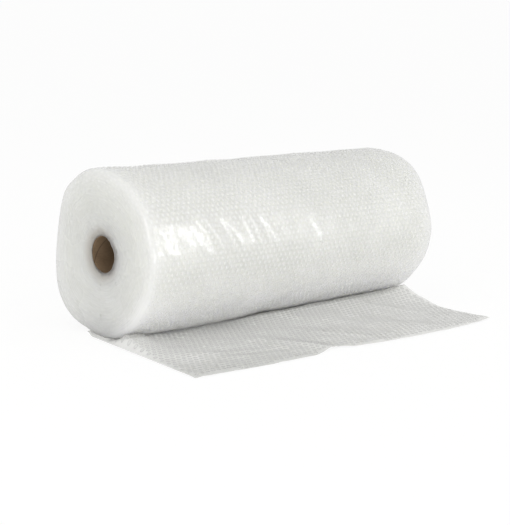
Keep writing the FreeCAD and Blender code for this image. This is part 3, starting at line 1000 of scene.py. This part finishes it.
# %% Core board
strip_width = 0.13
seam_width = 0.018  # as a share of the strip
board_material, tree, board_shader = new_material("core board")
board_shader.inputs["Specular IOR Level"].default_value = 0.3
place = tree.nodes.new("ShaderNodeTexCoord")
parts = tree.nodes.new("ShaderNodeSeparateXYZ")
tree.links.new(place.outputs["Object"], parts.inputs["Vector"])
above_axis = math_node(tree, "SUBTRACT", parts.outputs["Z"], axis_height)
around = math_node(tree, "ARCTAN2", parts.outputs["Y"], above_axis)
along_strip = math_node(tree, "DIVIDE", parts.outputs["X"], strip_width)
screw = math_node(tree, "ADD", along_strip, math_node(tree, "DIVIDE", around, math.tau))
from_seam = math_node(tree, "SUBTRACT", math_node(tree, "FRACT", screw), 0.5)
seam = spread_node(tree, math_node(tree, "ABSOLUTE", from_seam), 0.0, seam_width, 1.0, 0.0)
fibres = noise_node(tree, stretched(tree, place.outputs["Object"], (160, 900, 900)), 1, 5)
patches = math_node(tree, "MULTIPLY", grouped(tree, clouds, {"Size": 22}), 0.4)
mottled = math_node(tree, "ADD", math_node(tree, "MULTIPLY", fibres, 0.6), patches)
lightness = spread_node(tree, mottled, 0.25, 0.75)
brown = mixed_colour(tree, lightness, (0.20, 0.135, 0.08), (0.34, 0.24, 0.15))
seam_share = math_node(tree, "MULTIPLY", seam, 0.7)
board_colour = mixed_colour(tree, seam_share, brown, (0.09, 0.06, 0.035))
tree.links.new(board_colour, board_shader.inputs["Base Color"])
dullness = spread_node(tree, fibres, 0.3, 0.7, 0.74, 0.92)
tree.links.new(dullness, board_shader.inputs["Roughness"])
rough_board = tree.nodes.new("ShaderNodeBump")
rough_board.inputs["Strength"].default_value = 0.5
rough_board.inputs["Distance"].default_value = 0.0006
tree.links.new(math_node(tree, "SUBTRACT", fibres, seam), rough_board.inputs["Height"])
tree.links.new(rough_board.outputs["Normal"], board_shader.inputs["Normal"])
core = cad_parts["cardboard_core"]
core.data.materials.clear()
core.data.materials.append(board_material)
print(core.name, "wears", board_material.name)

# %% [markdown]
# Every new piece rides on the frame's only body. The wound film stands for the CAD film, and the CAD
# core stays as it is.

# %% Attach the pieces to the frame
for piece in (wound_film, back_bubbles, front_bubbles, loose_end, cushions, under_bubbles):
    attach(piece, "root")
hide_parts("bubble_film")

# %% [markdown]
# The studio: a large pale floor, a pale sky, and soft lamps. The camera sees the floor as almost
# white, as in a product photograph, but the floor keeps the roll's shadow. The loose end lies on this
# floor: cut flat it is 0.77 m wide and 0.385 m long.

# %% Floor
white_share = 0.82  # how much of the floor the camera sees as plain white
deselect_all()
bpy.ops.mesh.primitive_plane_add(size=80)
floor = named("studio_floor")
floor_material, floor_tree, floor_shader = new_material("studio floor")
nodes, links = floor_tree.nodes, floor_tree.links
floor_shader.inputs["Base Color"].default_value = (0.88, 0.88, 0.87, 1)
floor_shader.inputs["Roughness"].default_value = 0.9
floor_shader.inputs["Specular IOR Level"].default_value = 0.1
white = nodes.new("ShaderNodeEmission")
white.inputs["Strength"].default_value = 1.05
path = nodes.new("ShaderNodeLightPath")
mix = nodes.new("ShaderNodeMixShader")
whiteness = math_node(floor_tree, "MULTIPLY", path.outputs["Is Camera Ray"], white_share)
links.new(whiteness, mix.inputs["Fac"])
links.new(floor_shader.outputs["BSDF"], mix.inputs[1])
links.new(white.outputs["Emission"], mix.inputs[2])
links.new(mix.outputs["Shader"], nodes["Material Output"].inputs["Surface"])
floor.data.materials.append(floor_material)
print("floor", round(floor.dimensions.x), "m wide")

# %% [markdown]
# Most of the light comes from the pale sky. Four soft lamps shape it: a tall narrow one on the right
# draws the streaks, a wide low one lights the front, a square one the end face, and a faint one the top.

# %% Sky
world = bpy.data.worlds.new("studio")
bpy.context.scene.world = world
world.use_nodes = True
nodes, links = world.node_tree.nodes, world.node_tree.links
background = nodes["Background"]
background.inputs["Strength"].default_value = 0.73
seen = nodes.new("ShaderNodeBackground")
seen.inputs["Strength"].default_value = 1.0
path = nodes.new("ShaderNodeLightPath")
mix = nodes.new("ShaderNodeMixShader")
links.new(path.outputs["Is Camera Ray"], mix.inputs["Fac"])
links.new(background.outputs["Background"], mix.inputs[1])
links.new(seen.outputs["Background"], mix.inputs[2])
links.new(mix.outputs["Shader"], nodes["World Output"].inputs["Surface"])
background.inputs["Color"].default_value = (1.0, 1.0, 1.0, 1)
seen.inputs["Color"].default_value = (1.0, 1.0, 1.0, 1)
print("sky strength", round(background.inputs["Strength"].default_value, 2))


# %% Lamps
def soft_lamp(name, place, target, width, height, power):
    """An area lamp at place, facing target."""
    data = bpy.data.lights.new(name, "AREA")
    data.shape = "RECTANGLE"
    data.size = width
    data.size_y = height
    data.energy = power
    lamp = bpy.data.objects.new(name, data)
    bpy.context.scene.collection.objects.link(lamp)
    way = Vector(target) - Vector(place)
    lamp.matrix_world = Matrix.Translation(place) @ way.to_track_quat("-Z", "Y").to_matrix().to_4x4()
    print(name, power, "W")


soft_lamp("front_right_lamp", (1.70, -2.50, 0.95), (0, 0, 0.15), 0.15, 1.8, 13)
soft_lamp("top_lamp", (-0.3, 0.3, 3.0), (0, 0, 0.1), 2.2, 2.2, 4)
soft_lamp("left_lamp", (-3.0, -0.4, 1.0), (-0.3, 0, 0.15), 1.4, 1.4, 14)
soft_lamp("front_low_lamp", (-1.1, -2.8, 0.22), (0, 0, 0.06), 2.4, 0.4, 18)

# %% [markdown]
# The plain view transform shows a colour about as it is written.

# %% View settings
bpy.context.scene.view_settings.view_transform = "Standard"
print("view transform", bpy.context.scene.view_settings.view_transform)
